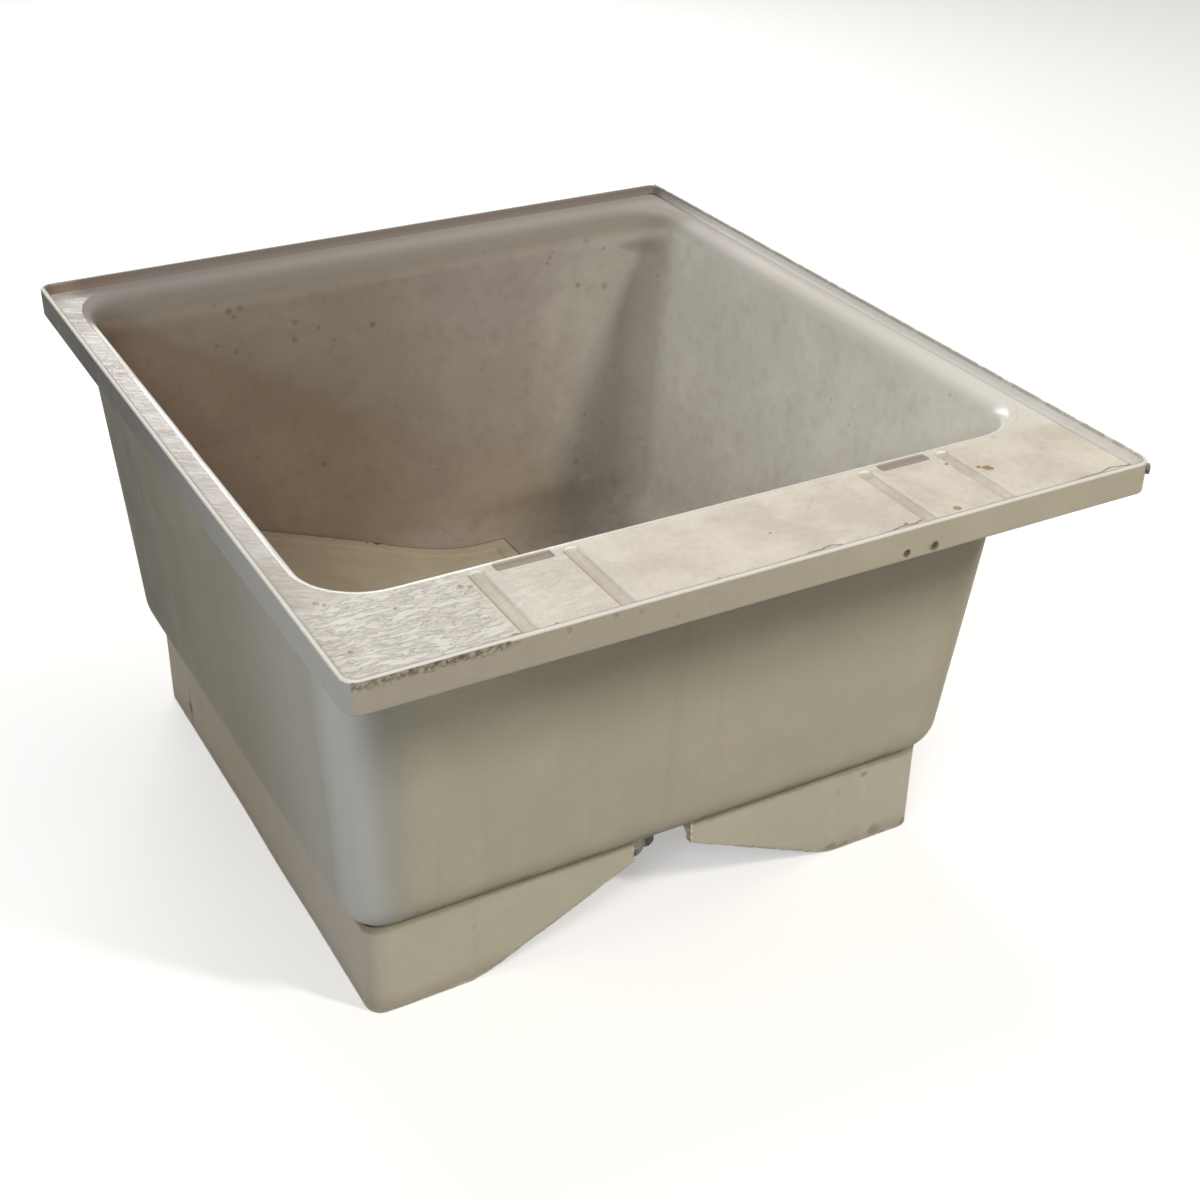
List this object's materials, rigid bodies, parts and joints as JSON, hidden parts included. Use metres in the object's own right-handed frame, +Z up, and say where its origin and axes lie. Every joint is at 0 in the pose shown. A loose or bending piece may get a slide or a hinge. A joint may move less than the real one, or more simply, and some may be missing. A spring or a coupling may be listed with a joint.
{
  "type": "mop service sink",
  "caption": "Deep floor-standing mop sink in moulded fibreglass with a front deck, raised lip, base skirt with a pipe arch, lift-out sloping board and a waste fitting.",
  "frame": {"origin": "on the ground, under the middle of the rim", "axes": "+X left to right along the front deck, +Y from the front deck to the back, +Z up"},
  "size_m": [0.61, 0.694, 0.394],
  "materials": {
    "gelcoat": "worn off-white gel coat on glass fibre, stained and limescaled inside the bowl",
    "skirt_gelcoat": "dull off-white gel coat on glass fibre",
    "board_gelcoat": "cleaner cream gel coat with dirt along its edges",
    "laminate": "rough resin and chopped glass fibre",
    "plywood": "raw plywood under a thin coat of resin",
    "stainless": "stainless steel, dulled by limescale",
    "tube_steel": "tarnished plated waste tube",
    "brass": "dull oxidised brass",
    "black_rubber": "matt black rubber",
    "red_fibre": "red vulcanised fibre"
  },
  "bodies": {
    "sink": {"basin": "gelcoat", "base_skirt": "skirt_gelcoat", "skirt_bond": "laminate", "floor_stiffener": "plywood", "drain_body": "stainless", "flange_seal": "black_rubber", "under_gasket": "black_rubber", "fibre_washer": "red_fibre", "drain_locknut": "brass", "lint_basket": "stainless", "strainer_plate": "stainless", "strainer_screws": "stainless", "tail_seal": "black_rubber", "coupling_nut": "brass", "tailpiece": "tube_steel"},
    "board": {"sloping_board": "board_gelcoat"}
  },
  "joints": [
    {"name": "board_lift", "type": "slide", "parent": "sink", "child": "board", "axis": [0, 0, 1], "range_m": [0, 0.33]}
  ]
}
